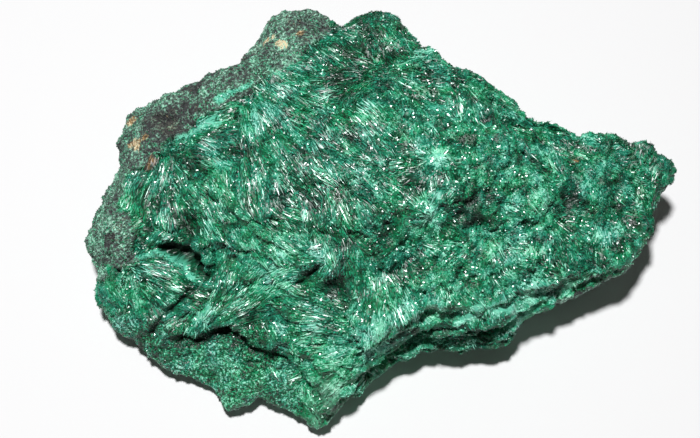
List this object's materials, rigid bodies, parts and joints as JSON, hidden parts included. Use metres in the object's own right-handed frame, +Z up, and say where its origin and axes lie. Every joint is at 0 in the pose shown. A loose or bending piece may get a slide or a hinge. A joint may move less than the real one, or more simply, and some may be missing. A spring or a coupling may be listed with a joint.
{
  "type": "malachite specimen",
  "caption": "Broken lump of fibrous green malachite with a low domed crown of silky crystal sprays, a weathered rind edge, a layered front edge and a worn flat underside to rest on.",
  "frame": {"origin": "on the resting plane, under the middle of the stone's bounding box", "axes": "+Z up from the resting plane, +X along the stone's length towards its thin end, -Y towards the layered front edge"},
  "size_m": [0.112, 0.084, 0.036],
  "materials": {
    "malachite": "silky, fibrous and sparkling broken surface, deep green with pale blue-green glints"
  },
  "bodies": {
    "root": {"malachite": "malachite"}
  },
  "joints": []
}
